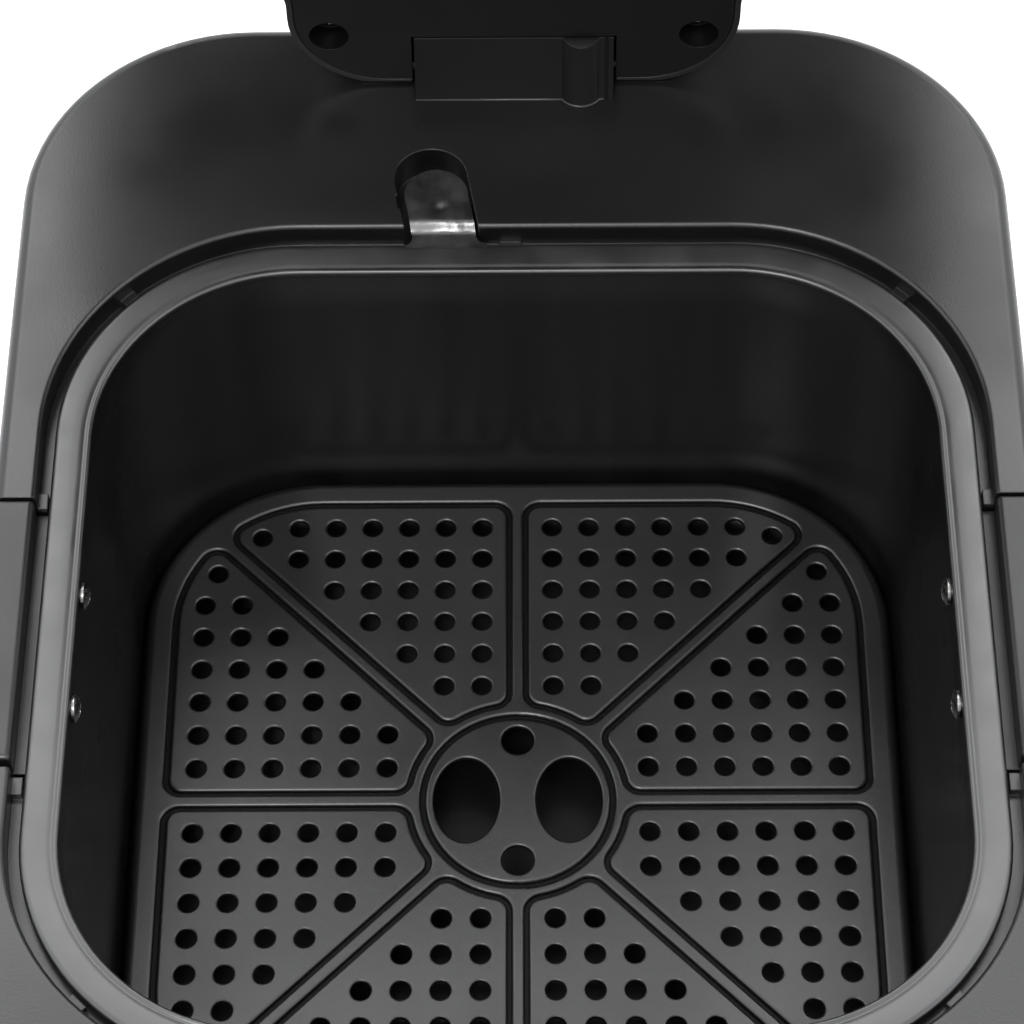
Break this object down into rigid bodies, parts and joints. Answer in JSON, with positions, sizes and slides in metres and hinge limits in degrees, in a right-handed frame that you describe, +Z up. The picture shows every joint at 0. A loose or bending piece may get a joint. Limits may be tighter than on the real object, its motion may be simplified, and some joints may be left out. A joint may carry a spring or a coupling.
{
  "type": "air fryer",
  "caption": "Flip-lid air fryer with a lift-out pot, crisper plate, rear-hinged heater lid, fan, side grips and front controls.",
  "frame": {"origin": "on the surface the feet stand on, under the middle of the bounding box with the lid open", "axes": "+Z up, -Y towards the front with the controls, +Y towards the hinge, +X to the right seen from the front"},
  "size_m": [0.308, 0.4574, 0.5401],
  "materials": {
    "shell": "fine spark texture",
    "deck": "satin",
    "handle": "satin",
    "dark_plastic": "moulded",
    "gloss_black": "polished",
    "lens": "smoked",
    "rubber": "matte",
    "silicone": "soft",
    "gasket": "soft",
    "coated": "non-stick satin",
    "coated_plate": "non-stick satin",
    "zinc": "zinc-plated sheet",
    "alu": "pressed",
    "steel": "bright",
    "screw": "nickel-plated",
    "sheath": "oxidised sheath",
    "pcb": "solder mask",
    "white": "moulded",
    "fibre": "felted fibre",
    "ceramic": "ceramic"
  },
  "bodies": {
    "base": {"base_shell": "shell", "bottom_cover": "dark_plastic", "bottom_screws": "screw", "cavity_liner": "zinc", "control_board": "pcb", "control_fascia": "gloss_black", "cord_inlet": "dark_plastic", "display_lens": "lens", "foot_front_left": "rubber", "foot_front_right": "rubber", "foot_rear_left": "rubber", "foot_rear_right": "rubber", "hinge_bracket": "zinc", "hinge_housing": "dark_plastic", "hinge_pin": "sheath", "hinge_spring_left": "steel", "hinge_spring_right": "steel", "liner_screws": "screw", "pot_switch": "white", "power_board": "pcb", "reed_switch": "white", "rotary_encoder": "steel", "top_deck": "deck"},
    "lid": {"lid_shell": "shell", "lid_inner_cover": "dark_plastic", "lid_liner": "coated", "lid_gasket": "gasket", "lid_handle": "gloss_black", "lid_magnet": "steel", "lid_arm_left": "zinc", "lid_arm_right": "zinc", "lid_hinge_screws": "screw", "lid_cover_screws": "screw", "exhaust_grille": "dark_plastic", "insulation_wrap": "fibre", "heater_coil": "sheath", "heater_clips": "zinc", "heater_guard": "sheath", "fan_motor": "steel", "motor_bracket": "zinc", "thermostat": "ceramic", "temp_probe": "steel"},
    "rotor": {"fan_shaft": "steel", "fan_nut": "steel", "convection_fan": "alu", "cooling_fan": "dark_plastic"},
    "pot_body": {"pot": "coated", "pot_handle_left": "handle", "pot_handle_right": "handle", "pot_screws": "screw"},
    "plate_body": {"crisper_plate": "coated_plate", "plate_feet": "silicone"},
    "knob_body": {"control_knob": "gloss_black"},
    "plunger_body": {"pot_plunger": "white"},
    "power_button_body": {"power_button": "gloss_black"},
    "preset_button_body": {"preset_button": "gloss_black"},
    "timer_button_body": {"timer_button": "gloss_black"},
    "start_button_body": {"start_button": "gloss_black"}
  },
  "joints": [
    {"name": "lid_hinge", "type": "hinge", "parent": "base", "child": "lid", "pos_m": [0, 0.14465, 0.1648], "axis": [-1, 0, 0], "range_deg": [-90, 0]},
    {"name": "fan_spin", "type": "hinge", "parent": "lid", "child": "rotor", "pos_m": [0, 0.17985, 0.3571], "axis": [0, 1, 0], "continuous": true},
    {"name": "pot_lift", "type": "slide", "parent": "base", "child": "pot_body", "axis": [0, 0, 1], "range_m": [0, 0.16]},
    {"name": "plate_lift", "type": "slide", "parent": "pot_body", "child": "plate_body", "axis": [0, 0, 1], "range_m": [0, 0.13]},
    {"name": "knob_turn", "type": "hinge", "parent": "base", "child": "knob_body", "pos_m": [0, -0.21365, 0.08], "axis": [0, 1, 0], "continuous": true},
    {"name": "plunger_press", "type": "slide", "parent": "base", "child": "plunger_body", "axis": [0, 0, 1], "range_m": [-0.0015, 0], "stiffness_N_per_m": 300},
    {"name": "power_press", "type": "slide", "parent": "base", "child": "power_button_body", "axis": [0, 1, 0], "range_m": [0, 0.0012], "stiffness_N_per_m": 900},
    {"name": "preset_press", "type": "slide", "parent": "base", "child": "preset_button_body", "axis": [0, 1, 0], "range_m": [0, 0.0012], "stiffness_N_per_m": 900},
    {"name": "timer_press", "type": "slide", "parent": "base", "child": "timer_button_body", "axis": [0, 1, 0], "range_m": [0, 0.0012], "stiffness_N_per_m": 900},
    {"name": "start_press", "type": "slide", "parent": "base", "child": "start_button_body", "axis": [0, 1, 0], "range_m": [0, 0.0012], "stiffness_N_per_m": 900}
  ]
}
